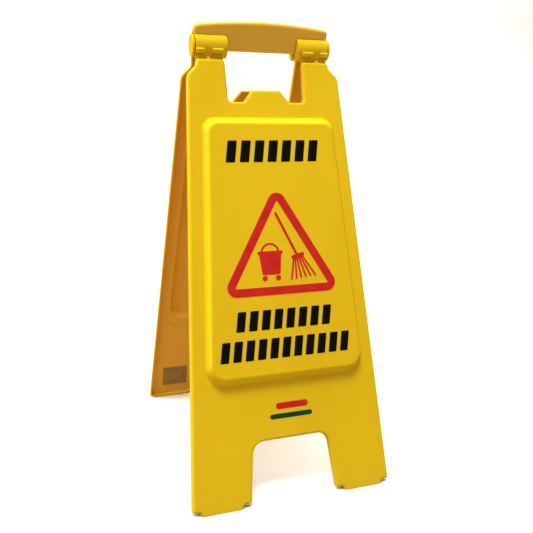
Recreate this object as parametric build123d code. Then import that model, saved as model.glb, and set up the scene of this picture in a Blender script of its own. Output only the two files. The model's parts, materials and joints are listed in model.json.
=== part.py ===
from build123d import *
import os
from math import atan2, cos, degrees, radians, sin, tan

# A folding A-frame floor sign: two moulded leaves, hinged at the top on two headed pins.
# A leaf is drawn flat in its own frame, then swung into place. In that frame x runs across,
# y runs up the leaf from the hinge axis, and z runs outward from the mid-plane of the folded
# sign. Levels down a leaf are given as distances below the lip on top of its two posts.
# The placed sign stands on z = 0 and its front leaf faces -Y.

# Overall
LEAF_LENGTH = 573.2  # lip to floor, along a leaf's outer face
OPEN_HALF_ANGLE = 16.2  # each leaf's lean when the sign is fully open
LIP_DROP = 20.0  # hinge axis to lip
FACE = 11.6  # mid-plane to a leaf's outer face
RIM_DEPTH = 9.0  # height of the rim wall that runs round a leaf
WALL = 2.6
EDGE_ROUND = 4.0  # rounding along the outer face
BACK_ROUND = 0.9  # rounding of the rim wall's free edge
LEAN = radians(OPEN_HALF_ANGLE)
HINGE_HEIGHT = (LIP_DROP + LEAF_LENGTH) * cos(LEAN) - FACE * sin(LEAN)

# Outline, as half widths across and levels below the lip
POST_INNER = 53.2
POST_OUTER = 90.9
POST_CORNER = 4.1
SHOULDER = ((91.1, 7.6, 8.0), (103.8, 20.5, 12.0))
OPENING_FLOOR = 54.3
OPENING_FLOOR_HALF = 51.7
TAB_TOP = 38.6
TAB_TOP_HALF = 19.5
TAB_BASE_HALF = 31.2
TAB_CORNER = 4.1
FOOT_SIDE = 135.8
FOOT_CORNER_LEVEL = LEAF_LENGTH - 4.8
FOOT_INNER = 58.8
FOOT_CORNER = 4.1
PAD_HALF_WIDTHS = (72.0, 122.5)
PAD_SLOPE = 4.2
NOTCH_TOP = 492.4
NOTCH_TOP_HALF = 50.6

# Raised panel
PANEL_RAISE = 11.5
PANEL_FOOT = dict(top=75.4, bottom=415.7, top_half=89.3, bottom_half=109.0)
PANEL_FACE = dict(top=84.9, bottom=407.4, top_half=83.0, bottom_half=102.75)
PANEL_CORNERS_FOOT = (17.0, 25.0)
PANEL_CORNERS_FACE = (12.0, 19.0)
PANEL_EDGE_ROUND = 4.5
BEVEL_WALL_INSET = 1.5
INNER_STEP = dict(top=63.5, bottom=431.5, top_half=94.0, bottom_half=115.2)
INNER_STEP_CORNERS = (20.0, 30.0)
INNER_STEP_DEPTH = 0.7

# Carry handle, on the rear leaf
HANDLE_HALF = 92.0
HANDLE_TOP = 32.6  # above the hinge axis, at the centre
HANDLE_BOW = 6.5  # fall of the top edge from centre to ends
HANDLE_CORNER = 6.0
HANDLE_DEPTHS = (-3.4, 6.5)  # the grip stands on both sides of the mid-plane
HANDLE_ROUND = 4.0
BACKING_TOP = 28.0  # top of the leaf behind the grip
GRIP_BOTTOM = -6.2  # lower edge of the grip, from the hinge axis

# Hinge
BARREL_RADIUS = 15.0
BARREL_BORE = 12.4
BARREL_ENDS = (48.2, 90.0)
BARREL_POCKETS = ((50.8, 66.4), (69.3, 78.7), (81.3, 87.4))
HUB_RADIUS = 7.8
PIN_RADIUS = 5.0
PIN_TIP = 54.0
PIN_HEAD = (90.7, 94.2)
PIN_HEAD_RADIUS = 14.0
RUNNING_CLEARANCE = 0.06
TIGHT_CLEARANCE = 0.02
KNUCKLE_RADIUS = 12.0
KNUCKLE_ENDS = (69.6, 78.4)
NECK_HALF = 5.8
HOUSING_BORE = 15.3
HOUSING_RADIUS = 17.2
HOUSING_ENDS = (46.0, 90.4)
HOUSING_CAP = 1.8
HOUSING_CAP_RADIUS = 15.6
HOUSING_BOTTOM = -13.5  # underside of the housing's wall, beside the post
HOOK_ENDS = ((54.0, 68.8), (79.2, 89.8))
HOOK_RADIUS = 18.8
HOOK_SLOPE = 5.8  # where the hooks' 45 degree upper face would cross the z axis
HOOK_BOTTOM = -12.2
SLIT_INSET = 1.5  # the slit under each hook is this much narrower at both ends
HOOK_NECK = (3.2, 5.4)
PEAK = (74.1, 5.8, 3.2)  # centre, half base and height of the peak on the lip
PEAK_ROOT = 3.0

# Prints and label, as places across a leaf and levels below its lip
FILM = 0.25
BAR_SLANT = 0.16
BAR_FILL = 0.66
BAR_ROUND = 1.0
HEADER_ROWS = (dict(left=-65, right=62, top=107.7, bottom=135.2, count=7),)
FOOTER_ROWS = (
    dict(left=-67, right=64, top=324.2, bottom=349.2, count=8),
    dict(left=-90, right=87, top=360.7, bottom=386.2, count=11),
)
TRIANGLE = dict(centre=-1.2, top=184.3, bottom=295.3, half=63.8, band=10.5, corner=1.5)
BUCKET = dict(centre=-15.0, rim=251.7, base=279.7, rim_half=17.0, top_half=15.0, base_half=12.0)
BUCKET_BAIL = (12.5, 10.2)
BUCKET_WHEEL = dict(level=284.3, radius=3.4, apart=18.0)
MOP_HANDLE = ((-4.0, 201.7), (22.0, 257.7))
MOP_HEAD = ((16.0, 259.2), (29.0, 255.7))
STRANDS = dict(count=6, top=(16.5, 261.7), bottom=(12.0, 287.2), top_step=2.4, bottom_step=6.6, rise=0.7)
MARK_BARS = {"mark_upper_print": (-14, 22, 449.7, 8.0), "mark_lower_print": (-24, 28, 462.7, 6.0)}
LABEL = dict(centre=92.8, level=532.2, width=41.0, height=37.0, thickness=0.6)

# Round ejector marks on the inner side of a web: level, distance in from the side edge
EJECTOR_MARKS = ((156.0, 7.4), (291.0, 7.4), (426.0, 7.4), (496.0, 7.4))
EJECTOR_RADIUS = 3.5
EJECTOR_DEPTH = 0.3

RIM_BACK = FACE - RIM_DEPTH
PANEL_FACE_HEIGHT = FACE + PANEL_RAISE


def level(below_lip):
    """The y of a place on a leaf, from its distance below the lip."""
    return -LIP_DROP - below_lip


def rounded_polygon(corners):
    """A face from (x, y, corner radius) triples."""
    points = [(x, y) for x, y, _ in corners]
    return make_face(FilletPolyline(*points, radius=[radius for _, _, radius in corners], close=True))


def symmetric(half):
    """A closed loop of corners from its right half, listed clockwise from the top centre."""
    return half + [(-x, y, radius) for x, y, radius in reversed(half)]


def both_sides(part):
    return part + mirror(part, about=Plane.YZ)


def bar(radius, start, end):
    """A cylinder on the hinge axis between two places across the leaf."""
    return Pos((start + end) / 2, 0, 0) * Rot(0, 90, 0) * Cylinder(radius, end - start)


def block(x_range, y_range, z_range):
    """A box from its low and high limits."""
    ranges = (x_range, y_range, z_range)
    middle = [(low + high) / 2 for low, high in ranges]
    return Pos(*middle) * Box(*[high - low for low, high in ranges])


def opening_floor():
    """Corners of the lower edge of the hand opening, with its tab, right half."""
    return [
        (TAB_TOP_HALF, level(TAB_TOP), TAB_CORNER),
        (TAB_BASE_HALF, level(OPENING_FLOOR), 2.5),
        (OPENING_FLOOR_HALF, level(OPENING_FLOOR), 5.0),
    ]


def legs():
    """Corners from the shoulder down to the leg notch, right half."""
    pad_inner, pad_outer = PAD_HALF_WIDTHS
    below_floor = level(LEAF_LENGTH + PAD_SLOPE)
    corner = level(FOOT_CORNER_LEVEL)
    shoulder = [(x, level(below_lip), radius) for x, below_lip, radius in SHOULDER]
    return shoulder + [
        (FOOT_SIDE, corner, FOOT_CORNER),
        (pad_outer + PAD_SLOPE, corner, 0.8),
        (pad_outer, below_floor, 0.0),
        (pad_inner, below_floor, 0.0),
        (pad_inner - PAD_SLOPE, corner, 0.8),
        (FOOT_INNER, corner, FOOT_CORNER),
        (NOTCH_TOP_HALF, level(NOTCH_TOP), 15.0),
    ]


def front_outline():
    posts = [(POST_INNER, level(0), POST_CORNER), (POST_OUTER, level(0), POST_CORNER)]
    return rounded_polygon(symmetric(opening_floor() + posts + legs()))


def bowed(top, sides):
    """A face with the handle's bowed top edge above the given corners of its right half."""
    shoulder_slope = 0.17
    flat_half = 20.0
    corner = top - HANDLE_BOW - 0.4
    crown = [
        (flat_half, corner + (HANDLE_HALF - flat_half) * shoulder_slope, 0.0),
        (HANDLE_HALF, corner, HANDLE_CORNER),
    ]
    bow_radius = (HANDLE_HALF**2 + HANDLE_BOW**2) / (2 * HANDLE_BOW)
    return rounded_polygon(symmetric(crown + sides)) & Pos(0, top - bow_radius) * Circle(bow_radius)


def rear_outline():
    """The same leaf, carried up past the hinge behind the handle, with a closed hand opening."""
    housing_side = HOUSING_ENDS[0] + HOUSING_CAP
    window_side = [
        (POST_INNER, HOUSING_BOTTOM, 1.2),
        (housing_side, HOUSING_BOTTOM, EDGE_ROUND + 0.1),
        (housing_side, GRIP_BOTTOM, 2.5),
    ]
    return bowed(BACKING_TOP, legs()) - rounded_polygon(symmetric(opening_floor() + window_side))


def grip():
    """The bar that the hand closes round."""
    back, front = HANDLE_DEPTHS
    bar_blank = extrude(Pos(0, 0, back) * bowed(HANDLE_TOP, [(HANDLE_HALF, GRIP_BOTTOM, 0.0)]), front - back)
    bar_blank = fillet(bar_blank.edges().group_by(Axis.Z)[0], HANDLE_ROUND)
    return fillet(bar_blank.edges().group_by(Axis.Z)[-1], HANDLE_ROUND)


def panel_section(size, corner_radii, inset=0.0):
    """A tapered, round-cornered section through the raised panel."""
    top, bottom = level(size["top"] + inset), level(size["bottom"] - inset)
    top_half, bottom_half = size["top_half"] - inset, size["bottom_half"] - inset
    top_radius, bottom_radius = [radius - inset for radius in corner_radii]
    return rounded_polygon(symmetric([(top_half, top, top_radius), (bottom_half, bottom, bottom_radius)]))


def panel_block(foot_height, face_height, inset):
    foot = Pos(0, 0, foot_height) * panel_section(PANEL_FOOT, PANEL_CORNERS_FOOT, inset)
    face = Pos(0, 0, face_height) * panel_section(PANEL_FACE, PANEL_CORNERS_FACE, inset)
    return loft([foot, face], ruled=True)


def leaf_shell(outline, hollow_top):
    """A thin moulding: a web with a raised panel, and a rim wall behind every edge.
    Above hollow_top, from the hinge axis, it is solid."""
    plate = extrude(Pos(0, 0, RIM_BACK) * outline, RIM_DEPTH)
    plate = fillet(plate.edges().group_by(Axis.Z)[-1], EDGE_ROUND)
    plate = fillet(plate.edges().group_by(Axis.Z)[0], BACK_ROUND)
    panel = panel_block(FACE, PANEL_FACE_HEIGHT, 0.0)
    panel = fillet(panel.edges().group_by(Axis.Z)[-1], PANEL_EDGE_ROUND)
    lowest_hollow = level(LEAF_LENGTH - RIM_DEPTH * tan(LEAN) - WALL)
    inside = offset(outline, -WALL, kind=Kind.INTERSECTION)
    hollow = extrude(Pos(0, 0, RIM_BACK) * inside, RIM_DEPTH - WALL)
    hollow &= block((-200, 200), (lowest_hollow, hollow_top), (0, FACE))
    step = panel_section(INNER_STEP, INNER_STEP_CORNERS)
    hollow += extrude(Pos(0, 0, FACE - WALL) * step, INNER_STEP_DEPTH)
    hollow += panel_block(FACE - WALL, PANEL_FACE_HEIGHT - WALL, BEVEL_WALL_INSET)
    leaf = plate + panel - hollow
    side_top, side_level, _ = SHOULDER[-1]
    for below_lip, inset in EJECTOR_MARKS:
        along = (below_lip - side_level) / (FOOT_CORNER_LEVEL - side_level)
        across = side_top + along * (FOOT_SIDE - side_top) - inset
        mark = Cylinder(EJECTOR_RADIUS, EJECTOR_DEPTH)
        leaf -= both_sides(Pos(across, level(below_lip), FACE - WALL + EJECTOR_DEPTH / 2) * mark)
    return leaf


def barrel():
    """The front leaf's right hinge barrel, open towards the rear leaf where its knuckle enters."""
    tube = fillet(bar(BARREL_RADIUS, *BARREL_ENDS).edges(), 1.0)
    for pocket in BARREL_POCKETS:
        tube -= bar(BARREL_BORE, *pocket)
        gap = block(pocket, (0, 2 * BARREL_RADIUS), (-2 * BARREL_RADIUS, 0))
        tube -= Rot(OPEN_HALF_ANGLE - 45, 0, 0) * gap
    for start, end in HOOK_ENDS:
        slit = (start + SLIT_INSET, end - SLIT_INSET)
        tube -= block(slit, (-BARREL_RADIUS - 1, HOOK_BOTTOM), (HOOK_NECK[1], BARREL_RADIUS))
    for pocket in (BARREL_POCKETS[0], BARREL_POCKETS[2]):
        tube += bar(HUB_RADIUS, *pocket)
        tube += block(pocket, (-WALL / 2, WALL / 2), (HUB_RADIUS - 1, BARREL_BORE + 0.5))
    return tube


def hooks():
    """The two bands that tie a barrel to the lip of its post, with the small peak between them."""
    back, front = HOOK_NECK
    root = level(1.0)
    below_slope = Polyline(
        (back, HOOK_SLOPE - back),
        (HOOK_SLOPE + HOOK_RADIUS, -HOOK_RADIUS),
        (HOOK_SLOPE + HOOK_RADIUS, root),
        (back, root),
        close=True,
    )
    neck = Polyline((back, 0), (front, 0), (front, root), (back, root), close=True)
    ledge = make_face(below_slope) & Circle(HOOK_RADIUS) & Pos(0, HOOK_BOTTOM + 50) * Rectangle(100, 100)
    side = ledge + (make_face(neck) & make_face(below_slope))
    bands = []
    for start, end in HOOK_ENDS:
        turned = Pos(end, 0, 0) * Rot(0, -90, 0) * extrude(side, end - start)
        bands.append(turned - bar(BARREL_BORE, start - 1, end + 1))
    centre, half, height = PEAK
    tent = make_face(
        Polyline(
            (centre - half, level(PEAK_ROOT)),
            (centre, level(-height)),
            (centre + half, level(PEAK_ROOT)),
            close=True,
        )
    )
    bands.append(extrude(Pos(0, 0, RIM_BACK + 1) * tent, RIM_DEPTH - 2))
    return bands


def front_leaf():
    leaf = leaf_shell(front_outline(), 0.0)
    side = barrel()
    for band in hooks():
        side += band
    side -= bar(PIN_RADIUS + RUNNING_CLEARANCE, PIN_TIP - 0.5, BARREL_ENDS[1] + 1)
    return leaf + both_sides(side)


def rear_leaf():
    leaf = leaf_shell(rear_outline(), -HOUSING_RADIUS)
    start, end = HOUSING_ENDS
    tall = (-HOUSING_RADIUS, HOUSING_RADIUS)
    shroud = bar(HOUSING_RADIUS, start, end) & block((start, end), tall, (FACE - WALL - 2, HOUSING_RADIUS))
    cap_end = start + HOUSING_CAP
    below_grip = (-HOUSING_RADIUS, GRIP_BOTTOM)
    cap = bar(HOUSING_CAP_RADIUS, start, cap_end) & block((start, cap_end), below_grip, (1.0, HOUSING_RADIUS))
    room = bar(HOUSING_BORE, cap_end, PIN_HEAD[1] + 1)
    knuckle = bar(KNUCKLE_RADIUS, *KNUCKLE_ENDS)
    knuckle += block(KNUCKLE_ENDS, (-NECK_HALF, NECK_HALF), (0, HOUSING_BORE + 0.6))
    knuckle -= bar(PIN_RADIUS + TIGHT_CLEARANCE, KNUCKLE_ENDS[0] - 1, KNUCKLE_ENDS[1] + 1)
    leaf += grip()
    leaf += both_sides(shroud)
    leaf += both_sides(cap)
    leaf -= both_sides(room)
    return leaf + both_sides(knuckle)


def hinge_pin():
    head = fillet(bar(PIN_HEAD_RADIUS, *PIN_HEAD).edges(), 1.2)
    shank = chamfer(bar(PIN_RADIUS, PIN_TIP, PIN_HEAD[0] + 1).edges().sort_by(Axis.X)[0], 0.8)
    return head + shank


def slanted_bars(left, right, top, bottom, count):
    """A row of plain slanted bars between two levels."""
    width = (right - left) / count * BAR_FILL
    lean = (bottom - top) * BAR_SLANT
    step = (right - left - width - lean) / (count - 1)
    bars = Sketch()
    for index in range(count):
        x = left + index * step
        corners = [(x + lean, top), (x + lean + width, top), (x + width, bottom), (x, bottom)]
        bars += rounded_polygon([(across, level(below_lip), BAR_ROUND) for across, below_lip in corners])
    return bars


def strip(start, end, width):
    """A straight round-ended stroke between two places on a leaf."""
    (x0, s0), (x1, s1) = start, end
    across, up = x1 - x0, s0 - s1
    turned = Rot(0, 0, degrees(atan2(up, across)))
    length = (across**2 + up**2) ** 0.5
    return Pos((x0 + x1) / 2, level((s0 + s1) / 2)) * turned * SlotOverall(length + width, width)


def warning_triangle():
    half, bottom, corner = TRIANGLE["half"], level(TRIANGLE["bottom"]), TRIANGLE["corner"]
    apex = (0, level(TRIANGLE["top"]), corner)
    inner = rounded_polygon([apex, (half, bottom, corner), (-half, bottom, corner)])
    return Pos(TRIANGLE["centre"], 0) * (offset(inner, TRIANGLE["band"], kind=Kind.ARC) - inner)


def bucket():
    """A plain wheeled bucket with a round bail."""
    size = BUCKET
    rim, base = level(size["rim"]), level(size["base"])
    shape = rounded_polygon(symmetric([(size["top_half"], rim, 1.5), (size["base_half"], base, 2.5)]))
    shape += Pos(0, rim) * RectangleRounded(2 * size["rim_half"], 4, 1.5)
    outer, inner = BUCKET_BAIL
    bail = (Circle(outer) - Circle(inner)) & Pos(0, outer / 2) * Rectangle(3 * outer, outer)
    shape += Pos(0, rim) * bail
    wheel = Circle(BUCKET_WHEEL["radius"])
    for x in (-BUCKET_WHEEL["apart"] / 2, BUCKET_WHEEL["apart"] / 2):
        shape += Pos(x, level(BUCKET_WHEEL["level"])) * wheel
    return Pos(size["centre"], 0) * shape


def mop():
    """A leaning string mop."""
    shape = strip(*MOP_HANDLE, 3.2) + strip(*MOP_HEAD, 5.0)
    (top_x, top_s), (bottom_x, bottom_s) = STRANDS["top"], STRANDS["bottom"]
    for index in range(STRANDS["count"]):
        start = (top_x + STRANDS["top_step"] * index, top_s - STRANDS["rise"] * index)
        end = (bottom_x + STRANDS["bottom_step"] * index, bottom_s - STRANDS["rise"] * index)
        shape += strip(start, end, 2.2)
    return shape


def prints():
    """Every printed film of one leaf: its face and the height of the surface that it lies on."""
    films = {
        "header_print": (Sketch() + [slanted_bars(**row) for row in HEADER_ROWS], PANEL_FACE_HEIGHT),
        "footer_print": (Sketch() + [slanted_bars(**row) for row in FOOTER_ROWS], PANEL_FACE_HEIGHT),
        "triangle_print": (warning_triangle(), PANEL_FACE_HEIGHT),
        "pictogram_print": (bucket() + mop(), PANEL_FACE_HEIGHT),
    }
    for name, (left, right, below_lip, width) in MARK_BARS.items():
        films[name] = (strip((left, below_lip), (right, below_lip), width), FACE)
    return films


def label_plate():
    size = LABEL
    face = RectangleRounded(size["width"], size["height"], 2.0)
    under = FACE - WALL - size["thickness"]
    return extrude(Pos(size["centre"], level(size["level"]), under) * face, size["thickness"])


def swing(part, side):
    """Stands a leaf-frame part up on the front (-1) or the rear (+1) of the sign."""
    place = Plane(origin=(0, 0, HINGE_HEIGHT), x_dir=(-side, 0, 0), z_dir=(0, side * cos(LEAN), sin(LEAN)))
    return place.location * part


def stand(leaf, side):
    """Places a leaf and levels its feet on the floor."""
    ground = block((-200, 200), (-400, 400), (-50, 0))
    return swing(leaf, side) - ground


def build():
    pin = hinge_pin()
    pieces = {
        "front_leaf": stand(front_leaf(), -1),
        "rear_leaf": stand(rear_leaf(), 1),
        "hinge_pin_left": swing(pin, 1),
        "hinge_pin_right": swing(mirror(pin, about=Plane.YZ), 1),
        "label_plate": swing(label_plate(), 1),
    }
    for leaf, side in (("front", -1), ("rear", 1)):
        for name, (face, height) in prints().items():
            film = extrude(Pos(0, 0, height) * face, FILM)
            pieces[f"{leaf}_{name}"] = swing(film, side)
    return pieces


os.makedirs("parts", exist_ok=True)
for node, solid in build().items():
    solid.label = node
    export_step(solid, f"parts/{node}.step")
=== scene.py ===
import json
from math import cos, radians, sin

import bpy
from mathutils import Matrix, Vector


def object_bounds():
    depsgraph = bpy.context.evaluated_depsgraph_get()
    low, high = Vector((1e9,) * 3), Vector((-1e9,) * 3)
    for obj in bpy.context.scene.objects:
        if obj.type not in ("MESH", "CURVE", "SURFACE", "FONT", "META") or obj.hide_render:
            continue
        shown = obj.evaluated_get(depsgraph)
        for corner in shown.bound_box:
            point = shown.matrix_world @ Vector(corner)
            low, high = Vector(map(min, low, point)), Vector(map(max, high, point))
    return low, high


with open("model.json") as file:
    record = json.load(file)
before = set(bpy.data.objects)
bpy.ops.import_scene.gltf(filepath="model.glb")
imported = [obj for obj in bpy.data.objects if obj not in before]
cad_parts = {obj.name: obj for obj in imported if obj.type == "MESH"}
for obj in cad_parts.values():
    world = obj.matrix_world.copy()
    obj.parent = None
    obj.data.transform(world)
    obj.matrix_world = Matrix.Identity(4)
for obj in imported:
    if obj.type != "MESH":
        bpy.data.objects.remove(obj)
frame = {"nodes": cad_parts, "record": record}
cad_low, cad_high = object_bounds()

# ---------------------------------------------------------------- node helpers

# Socket numbers of a Mix node that mixes colours.
MIX_SHARE, MIX_FIRST, MIX_SECOND, MIX_RESULT = 0, 6, 7, 2
RAMP_SOCKETS = ("From Min", "From Max", "To Min", "To Max")


class Nodes:
    """A short way to write one material's node tree."""

    def __init__(self, name):
        self.material = bpy.data.materials.new(name)
        self.material.use_nodes = True
        self.tree = self.material.node_tree
        self.surface = self.tree.nodes["Principled BSDF"]

    def add(self, kind, settings=None, **inputs):
        """Adds a node. Each keyword is an input's name, with _ for a space."""
        node = self.tree.nodes.new("ShaderNode" + kind)
        for key, value in (settings or {}).items():
            setattr(node, key, value)
        for key, value in inputs.items():
            self.plug(node, key.replace("_", " "), value)
        return node

    def plug(self, node, key, value):
        """Links a socket to an input, or sets the input to a plain value."""
        if isinstance(value, bpy.types.NodeSocket):
            self.tree.links.new(value, node.inputs[key])
        else:
            node.inputs[key].default_value = value

    def place(self):
        return self.add("TexCoord").outputs["Object"]

    def noise(self, scale, detail=3.0, roughness=0.55, stretch=None):
        where = self.place()
        if stretch:
            where = self.add("Mapping", Vector=where, Scale=stretch).outputs["Vector"]
        made = self.add("TexNoise", Vector=where, Scale=scale, Detail=detail, Roughness=roughness)
        return made.outputs["Fac"]

    def ramp(self, value, low, high, to_low=0.0, to_high=1.0):
        made = self.add("MapRange", {"interpolation_type": "SMOOTHSTEP"}, Value=value)
        for key, number in zip(RAMP_SOCKETS, (low, high, to_low, to_high)):
            made.inputs[key].default_value = number
        return made.outputs["Result"]

    def maths(self, operation, first, second):
        made = self.add("Math", {"operation": operation})
        self.plug(made, 0, first)
        self.plug(made, 1, second)
        return made.outputs[0]

    def mix(self, share, first, second):
        made = self.add("Mix", {"data_type": "RGBA"})
        self.plug(made, MIX_SHARE, share)
        self.plug(made, MIX_FIRST, first)
        self.plug(made, MIX_SECOND, second)
        return made.outputs[MIX_RESULT]

    def bump(self, height, distance, strength, normal=None):
        made = self.add("Bump", Height=height, Distance=distance, Strength=strength)
        if normal is not None:
            self.plug(made, "Normal", normal)
        return made.outputs["Normal"]


def linear(level):
    """One linear channel from a display value of 0 to 255."""
    share = level / 255
    return share / 12.92 if level <= 10 else ((share + 0.055) / 1.055) ** 2.4


def rgb(red, green, blue):
    """A linear colour from 0 to 255 display values."""
    return (linear(red), linear(green), linear(blue), 1.0)


# ---------------------------------------------------------------- materials

YELLOW = rgb(241, 211, 45)
YELLOW_DEEP = rgb(237, 206, 42)
# Painted light: a brighter, paler yellow for the faces on a leaf's inner side.
YELLOW_INNER_PAINTED_LIGHT = rgb(250, 207, 98)
DUST = rgb(206, 190, 140)

# Each material below has a main colour and a second one that drifts through it.
PIN_YELLOW = (rgb(248, 206, 24), rgb(243, 198, 18))
BLACK = (rgb(14, 12, 10), rgb(20, 17, 14))
RED = (rgb(224, 60, 54), rgb(213, 52, 49))
GREEN = (rgb(10, 98, 62), rgb(14, 88, 56))
LABEL_PAPER = (rgb(190, 158, 104), rgb(174, 142, 90))

# Which way a leaf's inner side faces along Y.
FRONT_INNER_SIDE, REAR_INNER_SIDE = 1.0, -1.0

WORN_EDGE_WIDTH = 0.0009
DUSTY_FOOT_HEIGHT = 0.05
SCUFF_STRENGTH, FOOT_DUST_STRENGTH = 0.25, 0.1
PLASTIC_IOR = 1.49


def paint_inner_light(made, colour, side):
    """Paints light on the faces turned to +Y (side = 1) or -Y (side = -1): a brighter, paler yellow
    that stands in for the light on a leaf's inner side.
    """
    facing = made.add("SeparateXYZ", Vector=made.add("TexCoord").outputs["Normal"]).outputs["Y"]
    share = made.ramp(made.maths("MULTIPLY", facing, side), 0.35, 0.85)
    return made.mix(share, colour, YELLOW_INNER_PAINTED_LIGHT)


def edge_scuffs(made, soft_normal):
    """A mask of broken wear along edges, where the softened normal leaves the true one."""
    worn = made.add("VectorMath", {"operation": "DOT_PRODUCT"})
    made.plug(worn, 0, soft_normal)
    made.plug(worn, 1, made.add("NewGeometry").outputs["Normal"])
    edge = made.ramp(worn.outputs["Value"], 0.999, 0.93)
    return made.maths("MULTIPLY", edge, made.ramp(made.noise(160.0, 5.0, 0.7), 0.5, 0.66))


def foot_dust(made):
    """A mask of patchy dust that grows towards the floor."""
    height = made.add("SeparateXYZ", Vector=made.place()).outputs["Z"]
    low = made.ramp(height, DUSTY_FOOT_HEIGHT, 0.0)
    return made.maths("MULTIPLY", low, made.ramp(made.noise(70.0, 6.0, 0.7), 0.42, 0.75))


def moulded_plastic(name, tint, deep, inner_side=None):
    """Semi-gloss injection-moulded plastic: fine grain, faint flow marks, scuffed edges and feet, and
    painted light on the inner side when one is given.
    """
    made = Nodes(name)
    flow = made.ramp(made.noise(9.0, 4.0, 0.6, (1.0, 1.0, 0.35)), 0.35, 0.7)
    colour = made.mix(flow, tint, deep)
    if inner_side:
        # Painted light on the faces of the inner side.
        colour = paint_inner_light(made, colour, inner_side)
    soft = made.add("Bevel", {"samples": 6}, Radius=WORN_EDGE_WIDTH).outputs["Normal"]
    scuffs = made.maths("MULTIPLY", edge_scuffs(made, soft), SCUFF_STRENGTH)
    grime = made.maths("MAXIMUM", scuffs, made.maths("MULTIPLY", foot_dust(made), FOOT_DUST_STRENGTH))
    made.plug(made.surface, "Base Color", made.mix(grime, colour, DUST))
    smear = made.ramp(made.noise(38.0, 5.0, 0.65, (1.0, 1.0, 0.5)), 0.3, 0.8, 0.30, 0.44)
    made.plug(made.surface, "Roughness", made.maths("ADD", smear, made.maths("MULTIPLY", grime, 0.3)))
    grain = made.bump(made.noise(2600.0, 2.0, 0.5), 0.00002, 0.5, soft)
    sink = made.bump(made.noise(22.0, 1.0, 0.4), 0.0006, 0.07, grain)
    made.plug(made.surface, "Normal", sink)
    made.plug(made.surface, "IOR", PLASTIC_IOR)
    made.plug(made.surface, "Specular IOR Level", 0.15)
    made.plug(made.surface, "Subsurface Weight", 0.25)
    made.plug(made.surface, "Subsurface Radius", (1.0, 0.45, 0.08))
    made.plug(made.surface, "Subsurface Scale", 0.0025)
    return made.material


def printed_ink(name, ink, deep):
    """A screen-printed film: dense ink with pinholes, faint rubbing and a satin face."""
    made = Nodes(name)
    cloud = made.ramp(made.noise(60.0, 4.0, 0.6), 0.3, 0.75)
    colour = made.mix(cloud, ink, deep)
    rub = made.ramp(made.noise(900.0, 3.0, 0.6), 0.68, 0.80, 0.0, 0.35)
    made.plug(made.surface, "Base Color", made.mix(rub, colour, YELLOW_DEEP))
    made.plug(made.surface, "Roughness", made.ramp(made.noise(120.0, 4.0, 0.6), 0.3, 0.8, 0.42, 0.6))
    made.plug(made.surface, "Specular IOR Level", 0.2)
    made.plug(made.surface, "Normal", made.bump(made.noise(1500.0, 2.0, 0.5), 0.00002, 0.4))
    return made.material


def label_stock(name, paper, aged):
    """A blank coated-paper label, a little aged."""
    made = Nodes(name)
    cloud = made.ramp(made.noise(90.0, 5.0, 0.65), 0.3, 0.75)
    made.plug(made.surface, "Base Color", made.mix(cloud, paper, aged))
    made.plug(made.surface, "Roughness", made.ramp(made.noise(300.0, 3.0, 0.6), 0.3, 0.8, 0.5, 0.7))
    made.plug(made.surface, "Normal", made.bump(made.noise(1800.0, 3.0, 0.6), 0.00003, 0.5))
    return made.material


def paint_nodes():
    """Gives each leaf its own plastic, with painted light on its inner side, and every other CAD node
    the material of its slot.
    """
    leaves = {
        "front_leaf": moulded_plastic("moulded_yellow_front", YELLOW, YELLOW_DEEP, FRONT_INNER_SIDE),
        "rear_leaf": moulded_plastic("moulded_yellow_rear", YELLOW, YELLOW_DEEP, REAR_INNER_SIDE),
    }
    slots = {
        "pin_plastic": moulded_plastic("pin_yellow", *PIN_YELLOW),
        "black_ink": printed_ink("ink_black", *BLACK),
        "red_ink": printed_ink("ink_red", *RED),
        "green_ink": printed_ink("ink_green", *GREEN),
        "label_stock": label_stock("label_blank", *LABEL_PAPER),
    }
    for part in frame["record"]["subparts"]:
        node = frame["nodes"][part["node"]]
        for slot in node.material_slots:
            slot.material = leaves.get(part["node"]) or slots[part["material_slot"]]


# ---------------------------------------------------------------- studio

# The paper as the camera sees it, and the darker, warmer paper that lights the sign from below.
PAPER_TONES = ((0.92, 0.92, 0.92, 1.0), (0.94, 0.94, 0.94, 1.0))
PAPER_BOUNCE = (0.42, 0.36, 0.27, 1.0)

WHITE = (1.0, 1.0, 1.0)
COOL_KEY = (0.97, 1.0, 0.96)
COOL_SIDE = (0.96, 1.0, 0.98)
ROOM_COLOUR = (1.0, 0.97, 0.93, 1.0)
ROOM_STRENGTH = 0.46
DISPLAY_GAMMA = 0.78


def studio_paper():
    """Matt paper, with one tone for the camera and another for the light that it returns."""
    made = Nodes("studio_paper")
    paper = made.mix(made.noise(3.0), *PAPER_TONES)
    seen = made.add("LightPath").outputs["Is Camera Ray"]
    made.plug(made.surface, "Base Color", made.mix(seen, PAPER_BOUNCE, paper))
    made.plug(made.surface, "Roughness", 0.9)
    return made.material


def studio_floor():
    """A pale floor that sweeps up into a back wall."""
    half, front, back, bend, rise = 6.0, -6.0, 3.0, 1.2, 5.0
    steps = 16
    profile = [(front, 0.0), (back, 0.0)]
    for index in range(1, steps + 1):
        turn = radians(90 * index / steps)
        profile.append((back + bend * sin(turn), bend * (1 - cos(turn))))
    profile.append((back + bend, rise))
    verts = [(x, y, z) for y, z in profile for x in (-half, half)]
    faces = [(2 * i, 2 * i + 1, 2 * i + 3, 2 * i + 2) for i in range(len(profile) - 1)]
    mesh = bpy.data.meshes.new("studio_floor")
    mesh.from_pydata(verts, [], faces)
    for polygon in mesh.polygons:
        polygon.use_smooth = True
    mesh.materials.append(studio_paper())
    floor = bpy.data.objects.new("studio_floor", mesh)
    bpy.context.scene.collection.objects.link(floor)


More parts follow.
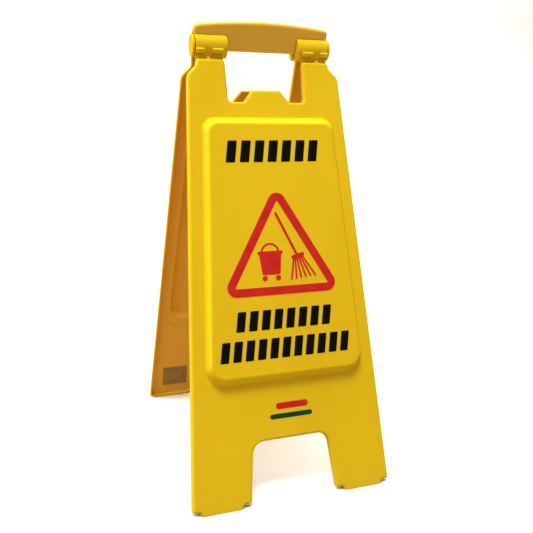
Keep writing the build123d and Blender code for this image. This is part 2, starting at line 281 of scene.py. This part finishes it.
def area_light(name, size, power, colour, place, target):
    """A round soft lamp that points at the target."""
    light = bpy.data.lights.new(name, "AREA")
    light.shape = "DISK"
    light.size = size
    light.energy = power
    light.color = colour
    lamp = bpy.data.objects.new(name, light)
    lamp.location = place
    lamp.rotation_euler = (Vector(target) - Vector(place)).to_track_quat("-Z", "Y").to_euler()
    bpy.context.scene.collection.objects.link(lamp)


def studio_lights():
    """A steep key light from the upper left, over a bright and even room."""
    centre = (0.0, 0.0, cad_high.z / 2)
    area_light("key_light", 1.5, 138.0, COOL_KEY, (-0.84, -1.07, 4.3), centre)
    area_light("side_light", 1.0, 26.0, COOL_SIDE, (-1.67, 0.45, 1.4), centre)
    area_light("back_light", 1.2, 4.0, WHITE, (0.5, 1.9, 1.2), centre)
    area_light("backdrop_light", 4.0, 220.0, WHITE, (1.4, 1.6, 4.2), (1.4, 4.2, 0.6))
    world = bpy.data.worlds.new("studio")
    world.use_nodes = True
    room = world.node_tree.nodes["Background"]
    room.inputs["Color"].default_value = ROOM_COLOUR
    room.inputs["Strength"].default_value = ROOM_STRENGTH
    bpy.context.scene.world = world
    bpy.context.scene.view_settings.view_transform = "Standard"
    bpy.context.scene.view_settings.gamma = DISPLAY_GAMMA


def studio_camera():
    """A camera to the left of the sign, looking slightly down, with a slight roll."""
    azimuth, elevation, roll = radians(-18.95), radians(14.82), radians(1.09)
    distance, focal_length, sensor_width = 0.9278, 43.23, 36.0
    target = Vector((0.01415, 0.0, 0.2666))
    back = Vector((sin(azimuth) * cos(elevation), -cos(azimuth) * cos(elevation), sin(elevation)))
    data = bpy.data.cameras.new("camera")
    data.sensor_width = sensor_width
    data.lens = focal_length
    camera = bpy.data.objects.new("camera", data)
    turn = (-back).to_track_quat("-Z", "Y").to_matrix() @ Matrix.Rotation(roll, 3, "Z")
    camera.matrix_world = Matrix.Translation(target + back * distance) @ turn.to_4x4()
    bpy.context.scene.collection.objects.link(camera)
    bpy.context.scene.camera = camera


paint_nodes()
studio_floor()
studio_lights()
studio_camera()
